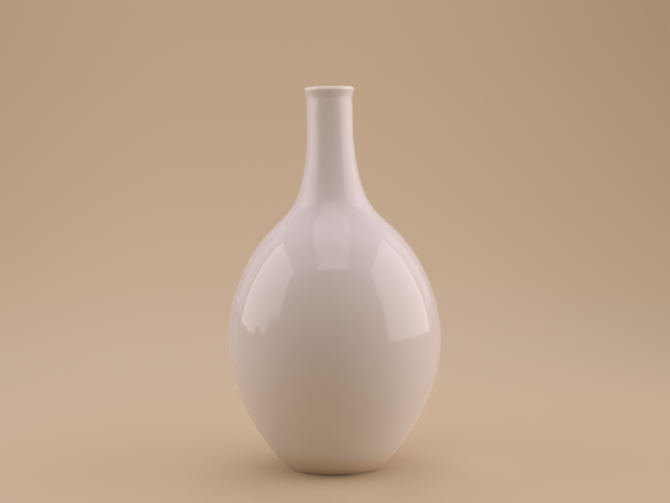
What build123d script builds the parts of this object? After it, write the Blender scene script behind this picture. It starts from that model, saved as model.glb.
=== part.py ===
from build123d import *

import os
from itertools import pairwise
from math import cos, radians, sin

# A long-necked bottle vase in white glazed porcelain, standing upright on its foot ring.
# Three thrown sections are luted together with slip, and all but the foot ring is glazed.
# Everything is turned about Z, so a profile's X is a radius and its Y a height, in millimetres.

# Outline of the glazed outside: the radius at each station and its rise above the one below
foot_edge_radius = 34.0
foot_edge_rise = 1.3
lower_body_radius = 55.3
lower_body_rise = 28.7
belly_radius = 70.5
belly_rise = 54.0
shoulder_radius = 60.7
shoulder_rise = 44.0
slope_radius = 41.7
slope_rise = 28.0
neck_root_radius = 25.7
neck_root_rise = 17.0
neck_base_radius = 18.6
neck_base_rise = 19.0
neck_radius = 15.1
neck_rise = 36.0
waist_radius = 15.0
waist_rise = 13.0
lip_radius = 16.5
lip_rise = 6.9

# Lean of the wall away from upright at the two ends of the outline, degrees
foot_lean = 45.0
lip_lean = 20.0

# Lip: a soft outer edge, and above it a face that slopes in to the round crest
lip_edge_round = 0.6
lip_face_lean = -22.0
crest_rise = 2.1

# Wall thickness with both coats of glaze, thinning evenly from one mark to the next
lower_wall = 5.4
belly_wall = 4.6
neck_wall = 3.4
lip_wall = 2.7

# Glaze coats, and where they are wiped off towards the foot
glaze = 0.35
glaze_taper = 0.6
base_glaze_line = 1.2

# Foot ring, and the base inside it
foot_bevel = 1.2
foot_ring_width = 4.2
recess_depth = 4.0
recess_draft = 12.0
recess_round = 1.6
base_thickness = 5.2
floor_radius = 22.0

# Luted joints: a ridge under the upper rim sits in a groove in the lower one, with slip between
slip = 0.5
ridge_height = 1.8
ridge_width = 2.0
joint_reach = 3.0

# Stations of the outline, from the foot to the outer edge of the lip
foot_edge = Vector(foot_edge_radius, foot_edge_rise)
lower_body = Vector(lower_body_radius, foot_edge.Y + lower_body_rise)
belly = Vector(belly_radius, lower_body.Y + belly_rise)
shoulder = Vector(shoulder_radius, belly.Y + shoulder_rise)
slope = Vector(slope_radius, shoulder.Y + slope_rise)
neck_root = Vector(neck_root_radius, slope.Y + neck_root_rise)
neck_base = Vector(neck_base_radius, neck_root.Y + neck_base_rise)
neck = Vector(neck_radius, neck_base.Y + neck_rise)
waist = Vector(waist_radius, neck.Y + waist_rise)
lip_edge = Vector(lip_radius, waist.Y + lip_rise)
height = lip_edge.Y + crest_rise


def leaning(angle):
    """Upward direction that leans outward by an angle from upright."""
    return Vector(sin(radians(angle)), cos(radians(angle)))


def inward(tangent):
    """Direction square to an upward tangent, into the wall."""
    return Vector(-tangent.Y, tangent.X)


# Upward directions of the outline at its ends, and of the face of the lip
foot_tangent = leaning(foot_lean)
lip_tangent = leaning(lip_lean)
lip_face = leaning(lip_face_lean)

stations = [foot_edge, lower_body, belly, shoulder, slope, neck_root, neck_base, neck, waist, lip_edge]
with BuildLine():
    outside = Spline(*stations, tangents=[foot_tangent, lip_tangent])

wall_marks = [
    (outside.param_at_point(lower_body), lower_wall),
    (outside.param_at_point(belly), belly_wall),
    (outside.param_at_point(neck_base), neck_wall),
    (1.0, lip_wall),
]


def wall_at(share):
    """Wall thickness at a share of the outline's length."""
    for (start, wall), (end, next_wall) in pairwise(wall_marks):
        if share <= end:
            break
    return wall + (next_wall - wall) * (share - start) / (end - start)


def into_wall(share, depth):
    """Point at a depth below the outside, at a share of the outline's length."""
    return outside @ share + inward(outside % share) * depth


def corner_at(point, direction, level):
    """Where a line from a point reaches a level."""
    return point + direction * ((level - point.Y) / direction.Y)


# The crest of the lip stands midway between its two faces
face_start = into_wall(1, lip_edge_round) - inward(lip_face) * lip_edge_round
outer_corner = corner_at(face_start, lip_face, height)
inner_corner = corner_at(into_wall(1, lip_wall), lip_tangent, height)
glaze_crest = (outer_corner + inner_corner) / 2
clay_crest = glaze_crest - Vector(0, glaze)


def lip_side(start, direction, crest):
    """Draw a straight face of the lip, and the round that brings it level at the crest."""
    corner = corner_at(start, direction, crest.Y)
    round_start = corner - direction * (corner - crest).length
    Line(start, round_start)
    TangentArc(round_start, crest, tangent=direction)


def lip_outside(depth, crest):
    """Draw the outer side of the lip at a depth below the glaze, from the flare to the crest."""
    edge = JernArc(into_wall(1, depth), lip_tangent, lip_edge_round - depth, lip_lean - lip_face_lean)
    lip_side(edge @ 1, lip_face, crest)


with BuildLine():
    clay_points = [into_wall(outside.param_at_point(station), glaze) for station in stations]
    clay_outside = Spline(*clay_points, tangents=[foot_tangent, lip_tangent])

# Levels of the base, and the radii of the foot ring
foot_radius = foot_edge_radius - foot_bevel
recess_radius = foot_radius - foot_ring_width
base_level = recess_depth + glaze
clay_floor = base_level + base_thickness
glaze_floor = clay_floor + glaze


def hollow_side(floor, cover):
    """Line of the hollow from the middle of its floor to the lip, under a cover of glaze."""
    shares = [outside.param_at_point(station) for station in stations[1:]]
    points = [into_wall(share, wall_at(share) - cover) for share in shares]
    side_tangent = outside % shares[0]
    with BuildLine() as side:
        level = Line((0, floor), (floor_radius, floor))
        Spline(level @ 1, points[0], tangents=[(1, 0), side_tangent])
        Spline(*points, tangents=[side_tangent, lip_tangent])
    return side.line


clay_inside = hollow_side(clay_floor, glaze)
inside = hollow_side(glaze_floor, 0)

# Recess under the base, drawn right across the axis
with BuildSketch() as recess:
    Trapezoid(2 * recess_radius, base_level, 90 - recess_draft, align=(Align.CENTER, Align.MIN))
    fillet(recess.vertices().group_by(Axis.Y)[-1], recess_round)

# Clay wall from the foot ring to the lip, before it is parted at the joints
with BuildSketch() as clay:
    with BuildLine():
        add(clay_outside)
        lip_outside(glaze, clay_crest)
        lip_side(into_wall(1, lip_wall - glaze), lip_tangent, clay_crest)
        add(clay_inside)
        Polyline((0, clay_floor), (0, 0), (foot_radius, 0), clay_outside @ 0)
    make_face()
    add(recess.sketch, mode=Mode.SUBTRACT)


def level_line(level):
    """Level line from well outside the vase to its axis."""
    return [Vector(2 * belly_radius, level), Vector(0, level)]


def joint_line(station, lift):
    """Line across the wall at a station, with a ridge that points down in the middle of the wall."""
    share = outside.param_at_point(station)
    along = outside % share
    half_wall = wall_at(share) / 2
    middle = into_wall(share, half_wall) + along * lift
    half_ridge = inward(along) * (ridge_width / 2)
    reach = inward(along) * (half_wall + joint_reach)
    ridge = middle - along * ridge_height
    across = [middle - reach, middle - half_ridge, ridge, middle + half_ridge, middle + reach]
    far_end = level_line(across[0].Y)[0]
    axis_end = level_line(across[-1].Y)[1]
    return [far_end, *across, axis_end]


def band(lower_line, upper_line):
    """Face between two lines that cross the wall."""
    with BuildSketch() as region:
        with BuildLine():
            Polyline(*lower_line, *reversed(upper_line), close=True)
        make_face()
    return region.sketch


under_foot = level_line(-joint_reach)
belly_groove = joint_line(belly, -slip / 2)
belly_ridge = joint_line(belly, slip / 2)
neck_groove = joint_line(neck_root, -slip / 2)
neck_ridge = joint_line(neck_root, slip / 2)
over_lip = level_line(height + joint_reach)

lower_body_band = band(under_foot, belly_groove)
belly_slip_band = band(belly_groove, belly_ridge)
shoulder_band = band(belly_ridge, neck_groove)
neck_slip_band = band(neck_groove, neck_ridge)
neck_band = band(neck_ridge, over_lip)

# Lower body: foot ring, recessed base and wall up to the groove at the widest girth
with BuildPart() as lower_body_section:
    with BuildSketch(Plane.XZ):
        add(clay.sketch)
        add(lower_body_band, mode=Mode.INTERSECT)
    revolve(axis=Axis.Z)

# Slip in the joint at the widest girth
with BuildPart() as belly_slip_joint:
    with BuildSketch(Plane.XZ):
        add(clay.sketch)
        add(belly_slip_band, mode=Mode.INTERSECT)
    revolve(axis=Axis.Z)

# Shoulder: from the ridge at the widest girth to the groove at the root of the neck
with BuildPart() as shoulder_section:
    with BuildSketch(Plane.XZ):
        add(clay.sketch)
        add(shoulder_band, mode=Mode.INTERSECT)
    revolve(axis=Axis.Z)

# Slip in the joint at the root of the neck
with BuildPart() as neck_slip_joint:
    with BuildSketch(Plane.XZ):
        add(clay.sketch)
        add(neck_slip_band, mode=Mode.INTERSECT)
    revolve(axis=Axis.Z)

# Neck: from the ridge at its root to the rounded lip
with BuildPart() as neck_section:
    with BuildSketch(Plane.XZ):
        add(clay.sketch)
        add(neck_band, mode=Mode.INTERSECT)
    revolve(axis=Axis.Z)

# Outer glaze: tapers out at the wiped foot and ends at the crest of the lip
with BuildPart() as outer_glaze:
    with BuildSketch(Plane.XZ):
        with BuildLine():
            coat = add(outside.trim(glaze_taper / outside.length, 1)).edge()
            TangentArc(coat @ 0, clay_outside @ 0, tangent=(coat % 0) * -1)
            add(clay_outside)
            lip_outside(glaze, clay_crest)
            Line(clay_crest, glaze_crest)
            lip_outside(0, glaze_crest)
        make_face()
    revolve(axis=Axis.Z)

# Inner glaze: over the floor and up the inside to the crest of the lip
with BuildPart() as inner_glaze:
    with BuildSketch(Plane.XZ):
        with BuildLine():
            add(inside)
            lip_side(into_wall(1, lip_wall), lip_tangent, glaze_crest)
            Line(glaze_crest, clay_crest)
            lip_side(into_wall(1, lip_wall - glaze), lip_tangent, clay_crest)
            add(clay_inside)
            Line((0, clay_floor), (0, glaze_floor))
        make_face()
    revolve(axis=Axis.Z)

# Base glaze: lines the recess under the base, down to the wiped foot ring
with BuildPart() as base_glaze:
    with BuildSketch(Plane.XZ):
        add(recess.sketch)
        offset(recess.sketch, amount=-glaze, mode=Mode.SUBTRACT)
        with Locations((0, base_glaze_line)):
            Rectangle(recess_radius, base_level, align=Align.MIN, mode=Mode.INTERSECT)
    revolve(axis=Axis.Z)

pieces = {
    "lower_body_section": lower_body_section,
    "belly_slip_joint": belly_slip_joint,
    "shoulder_section": shoulder_section,
    "neck_slip_joint": neck_slip_joint,
    "neck_section": neck_section,
    "outer_glaze": outer_glaze,
    "inner_glaze": inner_glaze,
    "base_glaze": base_glaze,
}

os.makedirs("parts", exist_ok=True)
for name, piece in pieces.items():
    piece.part.label = name
    export_step(piece.part, f"parts/{name}.step")
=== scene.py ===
from math import cos, pi, radians, sin

import bmesh
import bpy
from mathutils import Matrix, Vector
from mathutils.geometry import interpolate_bezier


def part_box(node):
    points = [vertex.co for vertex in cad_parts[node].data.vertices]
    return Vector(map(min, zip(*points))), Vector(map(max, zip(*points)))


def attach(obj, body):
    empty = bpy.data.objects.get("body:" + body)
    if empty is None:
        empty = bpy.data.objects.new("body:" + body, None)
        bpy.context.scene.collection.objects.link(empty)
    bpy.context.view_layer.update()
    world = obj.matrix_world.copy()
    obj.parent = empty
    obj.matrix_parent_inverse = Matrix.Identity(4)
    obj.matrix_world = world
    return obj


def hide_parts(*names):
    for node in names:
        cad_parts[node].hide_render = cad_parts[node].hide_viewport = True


# A white glazed porcelain bottle vase on a pale seamless sweep, lit by soft panels round and above it.
# Everything is in metres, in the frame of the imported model: +Z up, origin under the middle of the foot.
# The scales of noise and of cells are counts in one metre.

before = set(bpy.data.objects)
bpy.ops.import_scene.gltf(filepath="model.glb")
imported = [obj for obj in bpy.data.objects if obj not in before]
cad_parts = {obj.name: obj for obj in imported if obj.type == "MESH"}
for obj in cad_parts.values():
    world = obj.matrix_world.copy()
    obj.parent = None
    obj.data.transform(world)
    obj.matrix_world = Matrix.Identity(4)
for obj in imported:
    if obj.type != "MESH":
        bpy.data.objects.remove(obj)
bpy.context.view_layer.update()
foot_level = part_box("outer_glaze")[0].z
lip_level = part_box("outer_glaze")[1].z

# Lathe meshes of the glaze coats
segments = 208
curve_steps = 3
corner_angle = radians(30)
weld = 1e-6
straight = 2e-7
straight_run = 3

# Camera, fitted to the outline in the photograph
camera_place = Vector((0.0015, -0.8636, 0.2153))
camera_pitch = radians(4.835)
camera_roll = radians(-1.24)
camera_lens = 70.56
camera_near = 0.01

# Light panels: name, middle, facing, width, height and radiance
lamp_colour = (1.0, 0.90, 0.935)
panels = (
    ("right_panel", (0.6, -0.05, 0.41), (-1, 0, 0), 0.72, 0.70, 1.82),
    ("top_panel", (0.0, -0.1725, 0.85), (0, 0, -1), 0.5, 0.605, 1.4),
    ("top_front_panel", (0.0, -0.4965, 0.797), (0, 0, -1), 0.463, 0.10, 2.12),
    ("top_left_panel", (-0.53, -0.215, 0.85), (0, 0, -1), 0.5, 0.69, 0.47),
    ("top_right_panel", (0.53, -0.215, 0.85), (0, 0, -1), 0.5, 0.69, 0.47),
    ("back_panel", (0.0, 0.5, 0.85), (0, 0, -1), 0.6, 0.5, 3.0),
    ("left_fill", (-0.62, 0.53, 0.45), (1, 0, 0), 0.36, 0.60, 0.3),
    ("right_fill", (0.62, 0.55, 0.45), (-1, 0, 0), 0.36, 0.60, 0.5),
)
room_light = (0.5, 0.46, 0.46)

# Left panel, made of upright strips since its reflection has an uneven lower edge.
# For each strip, from the back to the front: where it starts, and the level that it reaches down to
left_place = -0.6
left_top = 0.75
left_front = -0.345
left_radiance = 1.81
left_strips = (
    (0.285, 0.118),
    (0.13, 0.10),
    (-0.01, 0.15),
    (-0.095, 0.12),
    (-0.165, 0.175),
    (-0.205, 0.245),
)

# Sweep: a round floor that curves up all round, with a hole under the vase that lets light reach its base
floor_radius = 0.5
sweep_radius = 0.8
sweep_steps = 24
paper_roughness = 0.9
paper_gloss = 0.1
fibre_scale = 900.0
fibre_height = 0.00002

# Tones of the sweep: as lit; lighter paper beside the foot, a painted pool of light; and the glow that is
# seen near, far off and far to the sides, a painted pool of light that fades away from the vase
paper_colour = (0.64, 0.52, 0.33)
painted_light_paper = (0.95, 0.80, 0.55)
painted_glow_near = (0.619, 0.462, 0.355)
painted_glow_far = (0.495, 0.35, 0.225)
painted_glow_aside = (0.20, 0.12, 0.05)

# Where the painted glow of the sweep changes with the distance from the vase, and from side to side:
# lighter near the vase, darker far off and to the sides
low_radius = 0.3
high_radius = 1.2
bright_side = -0.1
bright_width = 0.1
dim_width = 0.8
dim_share = 0.42

# Share of the seen tone: small round the vase, where its shadow falls, and least where the foot stands
near_share = 0.25
lit_radius = 0.04
plain_radius = 0.55
contact_place = (-0.001, -0.0125, 0.0)
contact_radius = 0.0275
clear_radius = 0.0495
contact_share = 0.35

# Painted pool of light: lighter paper to the right of the foot, standing in for the panel's light that the
# glaze throws down there, so it throws more light back at the vase; and the share of it that shows
bounce_place = (0.065, -0.015, 0.0)
bounce_radius = 0.025
bounce_end = 0.08
bounce_seen = 0.15

# Glaze: its tones, and where they change: a painted highlight, lighter and warmer, below the crest of the
# lip, and a darker, warmer tone above the wiped foot
glaze_colour = (0.87, 0.84, 0.84)
glaze_cool = (0.855, 0.84, 0.86)
glaze_lip_highlight = (0.97, 0.92, 0.86)
glaze_foot_tone = (0.80, 0.71, 0.62)
drift_scale = 11.0
drift_range = (0.35, 0.65)
lip_start = 0.0025
lip_full = 0.0017
foot_start = 0.018
foot_full = 0.001
foot_share = 0.9

# Glaze: gloss, relief and specks
glaze_index = 1.44
glaze_roughness = (0.015, 0.035)
gloss_scale = 23.0
swell_scale = 32.0
swell_height = 0.000028
peel_scale = 620.0
peel_height = 0.0000008
speck_colour = (0.44, 0.37, 0.30)
glaze_speck_cells = 70.0
glaze_speck_size = 0.00028
glaze_speck_depth = 0.55
outer_speck_share = 0.06
base_speck_share = 0.2

# Bare clay, its tones darkened with painted shade for the dark line where the foot meets the floor
biscuit_and_painted_shade = (0.64, 0.55, 0.43)
biscuit_dark_and_painted_shade = (0.50, 0.41, 0.30)
biscuit_roughness = (0.72, 0.9)
patch_scale = 60.0
patch_range = (0.42, 0.72)
patch_share = 0.5
grain_scale = 2600.0
grain_range = (0.55, 0.8)
grain_share = 0.3
grain_height = 0.00004
biscuit_speck_cells = 260.0
biscuit_speck_size = 0.0002
biscuit_speck_depth = 0.7
biscuit_speck_share = 0.22

# Fired slip
slip_colour = (0.67, 0.60, 0.50)
slip_roughness = (0.75, 0.92)
streak_scale = 420.0
streak_range = (0.35, 0.75)
streak_height = 0.00003

# Range that most values of a noise lie in
noise_range = (0.3, 0.7)


# Meshes

def section(node):
    """Outline of a turned node in the half plane to +X, in order, as vectors of radius and height."""
    shape = bmesh.new()
    shape.from_mesh(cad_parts[node].data)
    bmesh.ops.remove_doubles(shape, verts=shape.verts, dist=weld)
    for normal in ((-1, 0, 0), (0, 1, 0)):
        whole = shape.verts[:] + shape.edges[:] + shape.faces[:]
        cut = bmesh.ops.bisect_plane(
            shape, geom=whole, dist=weld, plane_co=(0, 0, 0), plane_no=normal, clear_outer=True
        )
    links = {}
    for edge in cut["geom_cut"]:
        if isinstance(edge, bmesh.types.BMEdge):
            first, second = edge.verts
            links.setdefault(first, []).append(second)
            links.setdefault(second, []).append(first)
    ends = [vert for vert in links if len(links[vert]) == 1]
    walk = [ends[0] if ends else next(iter(links))]
    while True:
        ahead = [vert for vert in links[walk[-1]] if vert not in walk]
        if not ahead:
            break
        walk.append(ahead[0])
    outline = [Vector((vert.co.x, vert.co.z)) for vert in walk]
    shape.free()
    return outline, not ends


def without_straight_points(outline, closed):
    """The outline without the points that lie on the line between their neighbours."""
    kept = []
    count = len(outline)
    for index, point in enumerate(outline):
        if not closed and index in (0, count - 1):
            kept.append(point)
            continue
        before = kept[-1] if kept else outline[index - 1]
        after = outline[(index + 1) % count]
        along = (after - before).normalized()
        across = (point - before).cross(along)
        if abs(across) > straight:
            kept.append(point)
    return kept


def smooth_outline(outline, closed):
    """The outline with its round stretches divided on a smooth curve, and its corners kept."""
    count = len(outline)

    def at(index):
        if closed:
            return outline[index % count]
        return outline[index] if 0 <= index < count else None

    def tangent(index):
        """Direction through a point, or none at a corner or an end."""
        before, here, after = at(index - 1), at(index), at(index + 1)
        if before is None or after is None:
            return None
        run_in, run_out = here - before, after - here
        if run_in.angle(run_out) > corner_angle:
            return None
        if run_in.length > straight_run * run_out.length:
            return run_in.normalized()
        if run_out.length > straight_run * run_in.length:
            return run_out.normalized()
        return (run_in.normalized() * run_out.length + run_out.normalized() * run_in.length).normalized()

    fine = []
    for index in range(count if closed else count - 1):
        start, end = at(index), at(index + 1)
        chord = (end - start).normalized()
        leave = tangent(index)
        arrive = tangent(index + 1)
        if leave is None and arrive is None:
            fine.append(start)
            continue
        if leave is None:
            leave = 2 * chord.dot(arrive) * chord - arrive
        if arrive is None:
            arrive = 2 * chord.dot(leave) * chord - leave
        reach = (end - start).length / 3
        knots = [start, start + leave * reach, end - arrive * reach, end]
        curve = interpolate_bezier(*[knot.to_3d() for knot in knots], curve_steps + 1)
        fine.extend(point.to_2d() for point in curve[:-1])
    if not closed:
        fine.append(outline[-1])
    return fine


def add_object(name, mesh):
    """A new object in the scene."""
    piece = bpy.data.objects.new(name, mesh)
    bpy.context.scene.collection.objects.link(piece)
    return piece


def turned_mesh(name, outline, closed):
    """Mesh of an outline turned about Z, smooth but for its corners, with a map of turn and length."""
    rings = []
    verts = []
    for radius, height in outline:
        if radius < weld:
            rings.append([len(verts)] * segments)
            verts.append((0, 0, height))
            continue
        rings.append(range(len(verts), len(verts) + segments))
        for step in range(segments):
            turn = 2 * pi * step / segments
            verts.append((radius * cos(turn), radius * sin(turn), height))

    spans = list(zip(range(len(outline)), range(1, len(outline))))
    if closed:
        spans.append((len(outline) - 1, 0))
    lengths = [0.0]
    for first, second in spans:
        lengths.append(lengths[-1] + (outline[second] - outline[first]).length)

    faces = []
    corners = []
    for index, (first, second) in enumerate(spans):
        low, high = lengths[index] / lengths[-1], lengths[index + 1] / lengths[-1]
        for step in range(segments):
            after = (step + 1) % segments
            here, there = step / segments, (step + 1) / segments
            face = [
                (rings[first][step], here, low),
                (rings[first][after], there, low),
                (rings[second][after], there, high),
                (rings[second][step], here, high),
            ]
            if face[0][0] == face[1][0]:
                del face[1]
            elif face[2][0] == face[3][0]:
                del face[3]
            faces.append([corner[0] for corner in face])
            corners.extend((corner[1], corner[2]) for corner in face)

    mesh = bpy.data.meshes.new(name)
    mesh.from_pydata(verts, [], faces)
    layer = mesh.uv_layers.new(name="OFBake")
    for loop, corner in zip(layer.uv, corners):
        loop.vector = corner
    shape = bmesh.new()
    shape.from_mesh(mesh)
    bmesh.ops.recalc_face_normals(shape, faces=shape.faces)
    shape.to_mesh(mesh)
    shape.free()
    mesh.shade_smooth()
    mesh.set_sharp_from_angle(angle=corner_angle)
    return mesh


def glaze_coat(name, node, material):
    """Smooth coat of glaze in the place of a packed glaze node."""
    outline, closed = section(node)
    outline = smooth_outline(without_straight_points(outline, closed), closed)
    coat = add_object(name, turned_mesh(name, outline, closed))
    coat.data.materials.append(material)
    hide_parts(node)
    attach(coat, "root")


# Materials

class Nodes:
    """Short ways to add and join the nodes of one material."""

    def __init__(self, name):
        self.material = bpy.data.materials.new(name)
        self.material.use_nodes = True
        self.tree = self.material.node_tree
        self.shader = self.tree.nodes["Principled BSDF"]
        self.output = self.tree.nodes["Material Output"]
        self.place = self.add("ShaderNodeTexCoord").outputs["Object"]

    def add(self, kind, **settings):
        """A new node with its settings."""
        node = self.tree.nodes.new(kind)
        for setting, value in settings.items():
            setattr(node, setting, value)
        return node

    def put(self, socket, value):
        """Give a socket a number, a colour or the output of another node."""
        if isinstance(value, bpy.types.NodeSocket):
            self.tree.links.new(value, socket)
        elif isinstance(value, tuple) and socket.type == "RGBA":
            socket.default_value = (*value, 1.0)
        else:
            socket.default_value = value

    def noise(self, scale, detail=2.0, roughness=0.5):
        """Noise in space, around one half."""
        node = self.add("ShaderNodeTexNoise")
        self.put(node.inputs["Vector"], self.place)
        node.inputs["Scale"].default_value = scale
        node.inputs["Detail"].default_value = detail
        node.inputs["Roughness"].default_value = roughness
        return node.outputs["Fac"]

    def math(self, operation, first, second=0.0):
        """Two values worked into one."""
        node = self.add("ShaderNodeMath", operation=operation)
        self.put(node.inputs[0], first)
        self.put(node.inputs[1], second)
        return node.outputs["Value"]

    def ramp(self, value, low, high, out_low=0.0, out_high=1.0, smooth=True):
        """A value carried from one range over to another, and held at its ends."""
        node = self.add("ShaderNodeMapRange")
        node.interpolation_type = "SMOOTHSTEP" if smooth else "LINEAR"
        for name, number in (
            ("Value", value),
            ("From Min", low),
            ("From Max", high),
            ("To Min", out_low),
            ("To Max", out_high),
        ):
            self.put(node.inputs[name], number)
        return node.outputs["Result"]

    def mix(self, factor, first, second):
        """One colour turning into another, by the node's sockets for colours."""
        node = self.add("ShaderNodeMix", data_type="RGBA")
        self.put(node.inputs[0], factor)
        self.put(node.inputs[6], first)
        self.put(node.inputs[7], second)
        return node.outputs[2]

    def blend(self, factor, first, second):
        """One shader turning into another."""
        node = self.add("ShaderNodeMixShader")
        self.put(node.inputs[0], factor)
        self.put(node.inputs[1], first)
        self.put(node.inputs[2], second)
        return node.outputs["Shader"]

    def vector(self, operation, first, second=(0.0, 0.0, 0.0)):
        """The node of a sum on vectors."""
        node = self.add("ShaderNodeVectorMath", operation=operation)
        self.put(node.inputs[0], first)
        self.put(node.inputs[1], second)
        return node

    def along(self, axis):
        """Place along an axis."""
        node = self.add("ShaderNodeSeparateXYZ")
        self.put(node.inputs["Vector"], self.place)
        return node.outputs[axis]

    def specks(self, cells, size, share):
        """1 inside small round specks, of a size in metres, in a share of the cells."""
        node = self.add("ShaderNodeTexVoronoi")
        self.put(node.inputs["Vector"], self.place)
        node.inputs["Scale"].default_value = cells
        inside = self.ramp(node.outputs["Distance"], size * cells, 0.5 * size * cells)
        chance = self.add("ShaderNodeSeparateColor")
        self.put(chance.inputs["Color"], node.outputs["Color"])
        chosen = self.math("LESS_THAN", chance.outputs["Red"], share)
        return self.math("MULTIPLY", inside, chosen)

    def relief(self, height):
        """Bump from a height in metres."""
        node = self.add("ShaderNodeBump")
        node.inputs["Strength"].default_value = 1.0
        node.inputs["Distance"].default_value = 1.0
        self.put(node.inputs["Height"], height)
        self.put(self.shader.inputs["Normal"], node.outputs["Normal"])


def glaze_material(name, speck_share):
    """Glossy white glaze: drifts in tone, has a painted highlight at the lip and a darker, warmer tone
    towards the foot, and ripples a little.
    """
    nodes = Nodes(name)
    drift = nodes.ramp(nodes.noise(drift_scale), *drift_range)
    colour = nodes.mix(drift, glaze_colour, glaze_cool)
    level = nodes.along("Z")
    # Painted highlight: lighter, warmer glaze on the lip's band
    lip_highlight_share = nodes.ramp(level, lip_level - lip_start, lip_level - lip_full)
    colour = nodes.mix(lip_highlight_share, colour, glaze_lip_highlight)
    # Darker, warmer glaze towards the foot
    at_foot = nodes.ramp(level, foot_level + foot_start, foot_level + foot_full, 0.0, foot_share)
    colour = nodes.mix(at_foot, colour, glaze_foot_tone)
    specks = nodes.specks(glaze_speck_cells, glaze_speck_size, speck_share)
    colour = nodes.mix(nodes.math("MULTIPLY", specks, glaze_speck_depth), colour, speck_colour)
    nodes.put(nodes.shader.inputs["Base Color"], colour)
    gloss = nodes.ramp(nodes.noise(gloss_scale, detail=4.0), *noise_range, *glaze_roughness)
    nodes.put(nodes.shader.inputs["Roughness"], gloss)
    nodes.shader.inputs["IOR"].default_value = glaze_index
    swell = nodes.math("MULTIPLY", nodes.noise(swell_scale, detail=1.0), swell_height)
    peel = nodes.math("MULTIPLY", nodes.noise(peel_scale), peel_height)
    nodes.relief(nodes.math("ADD", swell, peel))
    return nodes.material


def biscuit_material():
    """Bare fired porcelain: matt, fine grained and darker in patches, with painted shade darkening all its
    tones for the foot's contact line.
    """
    nodes = Nodes("biscuit_porcelain")
    patches = nodes.ramp(nodes.noise(patch_scale, detail=4.0), *patch_range)
    # Painted shade: the biscuit's tones are darkened for the dark line at the foot
    colour = nodes.mix(nodes.math("MULTIPLY", patches, patch_share), biscuit_and_painted_shade, biscuit_dark_and_painted_shade)
    grain = nodes.noise(grain_scale, detail=3.0, roughness=0.65)
    colour = nodes.mix(nodes.ramp(grain, *grain_range, 0.0, grain_share), colour, biscuit_dark_and_painted_shade)
    specks = nodes.specks(biscuit_speck_cells, biscuit_speck_size, biscuit_speck_share)
    colour = nodes.mix(nodes.math("MULTIPLY", specks, biscuit_speck_depth), colour, speck_colour)
    nodes.put(nodes.shader.inputs["Base Color"], colour)
    nodes.put(nodes.shader.inputs["Roughness"], nodes.ramp(grain, *noise_range, *biscuit_roughness))
    nodes.relief(nodes.math("MULTIPLY", grain, grain_height))
    return nodes.material


def slip_material():
    """Fired slip in the joints: matt and streaky."""
    nodes = Nodes("luting_slip")
    streaks = nodes.noise(streak_scale, detail=4.0, roughness=0.6)
    colour = nodes.mix(nodes.ramp(streaks, *streak_range), slip_colour, biscuit_dark_and_painted_shade)
    nodes.put(nodes.shader.inputs["Base Color"], colour)
    nodes.put(nodes.shader.inputs["Roughness"], nodes.ramp(streaks, *noise_range, *slip_roughness))
    nodes.relief(nodes.math("MULTIPLY", streaks, streak_height))
    return nodes.material


def paper_material():
    """Pale sweep: lit round the vase, where its shadow falls, with a painted pool of light beside the
    foot; further out a glowing tone, a painted pool of light that darkens far off and to the sides; clear
    from behind.
    """
    nodes = Nodes("pale_sweep")
    path = nodes.add("ShaderNodeLightPath")
    seen = nodes.math("MAXIMUM", path.outputs["Is Camera Ray"], path.outputs["Is Glossy Ray"])
    flat = nodes.vector("MULTIPLY", nodes.place, (1.0, 1.0, 0.0)).outputs["Vector"]
    radius = nodes.vector("LENGTH", flat).outputs["Value"]
    from_contact = nodes.vector("DISTANCE", flat, contact_place).outputs["Value"]
    from_bounce = nodes.vector("DISTANCE", flat, bounce_place).outputs["Value"]

    # Painted pool of light: lighter paper to the right of the foot, mostly hidden from the camera
    bounce = nodes.ramp(from_bounce, bounce_end, bounce_radius)
    shown = nodes.ramp(seen, 0.0, 1.0, 1.0, bounce_seen, smooth=False)
    colour = nodes.mix(nodes.math("MULTIPLY", bounce, shown), paper_colour, painted_light_paper)
    nodes.put(nodes.shader.inputs["Base Color"], colour)
    nodes.shader.inputs["Roughness"].default_value = paper_roughness
    nodes.shader.inputs["Specular IOR Level"].default_value = paper_gloss
    nodes.relief(nodes.math("MULTIPLY", nodes.noise(fibre_scale, detail=3.0), fibre_height))

    # Painted pool of light: the sweep's seen glow, lighter near the vase and darker far off and to the
    # sides
    tone = nodes.mix(nodes.ramp(radius, low_radius, high_radius, smooth=False), painted_glow_near, painted_glow_far)
    aside = nodes.math("ABSOLUTE", nodes.math("SUBTRACT", nodes.along("X"), bright_side))
    tone = nodes.mix(nodes.ramp(aside, bright_width, dim_width, 0.0, dim_share), tone, painted_glow_aside)
    glow = nodes.add("ShaderNodeEmission")
    nodes.put(glow.inputs["Color"], tone)

    away = nodes.ramp(radius, lit_radius, plain_radius, near_share, 1.0, smooth=False)
    contact = nodes.ramp(from_contact, contact_radius, clear_radius, contact_share, 1.0, smooth=False)
    plain = nodes.math("MULTIPLY", nodes.math("MULTIPLY", away, contact), seen)
    front = nodes.blend(plain, nodes.shader.outputs["BSDF"], glow.outputs["Emission"])
    back = nodes.add("ShaderNodeBsdfTransparent").outputs["BSDF"]
    behind = nodes.add("ShaderNodeNewGeometry").outputs["Backfacing"]
    nodes.put(nodes.output.inputs["Surface"], nodes.blend(behind, front, back))
    return nodes.material


# The vase

outer_coat_material = glaze_material("white_glaze", outer_speck_share)
base_coat_material = glaze_material("white_glaze_base", base_speck_share)
glaze_coat("outer_glaze_coat", "outer_glaze", outer_coat_material)
glaze_coat("inner_glaze_coat", "inner_glaze", outer_coat_material)
glaze_coat("base_glaze_coat", "base_glaze", base_coat_material)

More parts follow.
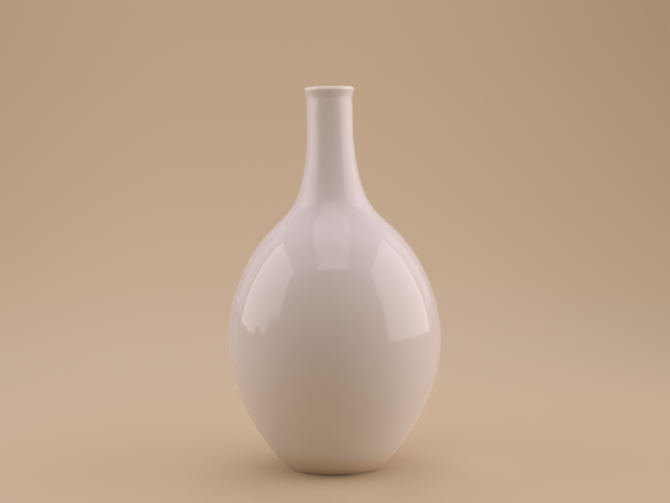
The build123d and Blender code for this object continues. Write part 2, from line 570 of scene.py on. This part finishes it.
biscuit = biscuit_material()
slip = slip_material()
clay_materials = {
    "lower_body_section": biscuit,
    "shoulder_section": biscuit,
    "neck_section": biscuit,
    "belly_slip_joint": slip,
    "neck_slip_joint": slip,
}
for node, material in clay_materials.items():
    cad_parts[node].material_slots[0].material = material


# Stage

def add_sweep():
    """Round floor that curves up all round, without a corner."""
    foot_radius = max(radius for radius, height in section("lower_body_section")[0] if height < weld)
    outline = [Vector((foot_radius, 0.0)), Vector((floor_radius, 0.0))]
    for step in range(1, sweep_steps + 1):
        turn = pi / 2 * step / sweep_steps
        outline.append(Vector((floor_radius + sweep_radius * sin(turn), sweep_radius * (1 - cos(turn)))))
    mesh = turned_mesh("sweep", outline, False)
    mesh.flip_normals()
    mesh.materials.append(paper_material())
    sweep = add_object("sweep", mesh)


def add_panel(name, place, facing, width, height, radiance):
    """Soft light panel that the camera doesn't see."""
    data = bpy.data.lights.new(name, "AREA")
    data.shape = "RECTANGLE"
    data.size = width
    data.size_y = height
    data.energy = pi * width * height * radiance
    data.color = lamp_colour
    panel = bpy.data.objects.new(name, data)
    bpy.context.scene.collection.objects.link(panel)
    panel.location = place
    panel.rotation_euler = Vector(facing).to_track_quat("-Z", "Y").to_euler()
    panel.visible_camera = False


def add_left_panel():
    """Left panel, as strips side by side."""
    ends = [start for start, level in left_strips[1:]] + [left_front]
    for index, ((start, level), end) in enumerate(zip(left_strips, ends)):
        place = (left_place, (start + end) / 2, (left_top + level) / 2)
        add_panel(f"left_strip_{index}", place, (1, 0, 0), start - end, left_top - level, left_radiance)


def add_world():
    """Even light from below, for views of the base, with the far tone of the sweep's painted glow where
    the room is seen.
    """
    world = bpy.data.worlds.new("room")
    bpy.context.scene.world = world
    world.use_nodes = True
    tree = world.node_tree
    direction = tree.nodes.new("ShaderNodeSeparateXYZ")
    tree.links.new(tree.nodes.new("ShaderNodeTexCoord").outputs["Generated"], direction.inputs["Vector"])
    below = tree.nodes.new("ShaderNodeMath")
    below.operation = "LESS_THAN"
    below.inputs[1].default_value = 0.0
    tree.links.new(direction.outputs["Z"], below.inputs[0])
    light = tree.nodes["Background"]
    light.inputs["Color"].default_value = (*room_light, 1.0)
    tree.links.new(below.outputs["Value"], light.inputs["Strength"])
    shown = tree.nodes.new("ShaderNodeBackground")
    shown.inputs["Color"].default_value = (*painted_glow_far, 1.0)
    path = tree.nodes.new("ShaderNodeLightPath")
    seen = tree.nodes.new("ShaderNodeMath")
    seen.operation = "MAXIMUM"
    tree.links.new(path.outputs["Is Camera Ray"], seen.inputs[0])
    tree.links.new(path.outputs["Is Glossy Ray"], seen.inputs[1])
    mix = tree.nodes.new("ShaderNodeMixShader")
    tree.links.new(seen.outputs["Value"], mix.inputs[0])
    tree.links.new(light.outputs["Background"], mix.inputs[1])
    tree.links.new(shown.outputs["Background"], mix.inputs[2])
    tree.links.new(mix.outputs["Shader"], tree.nodes["World Output"].inputs["Surface"])


def add_camera():
    """Camera at the photograph's place, with its slight roll."""
    data = bpy.data.cameras.new("camera")
    data.lens = camera_lens
    data.clip_start = camera_near
    camera = bpy.data.objects.new("camera", data)
    bpy.context.scene.collection.objects.link(camera)
    camera.location = camera_place
    camera.rotation_mode = "ZYX"
    camera.rotation_euler = (pi / 2 - camera_pitch, 0, camera_roll)
    bpy.context.scene.camera = camera


add_sweep()
for panel in panels:
    add_panel(*panel)
add_left_panel()
add_world()
add_camera()
bpy.context.scene.view_settings.view_transform = "Standard"
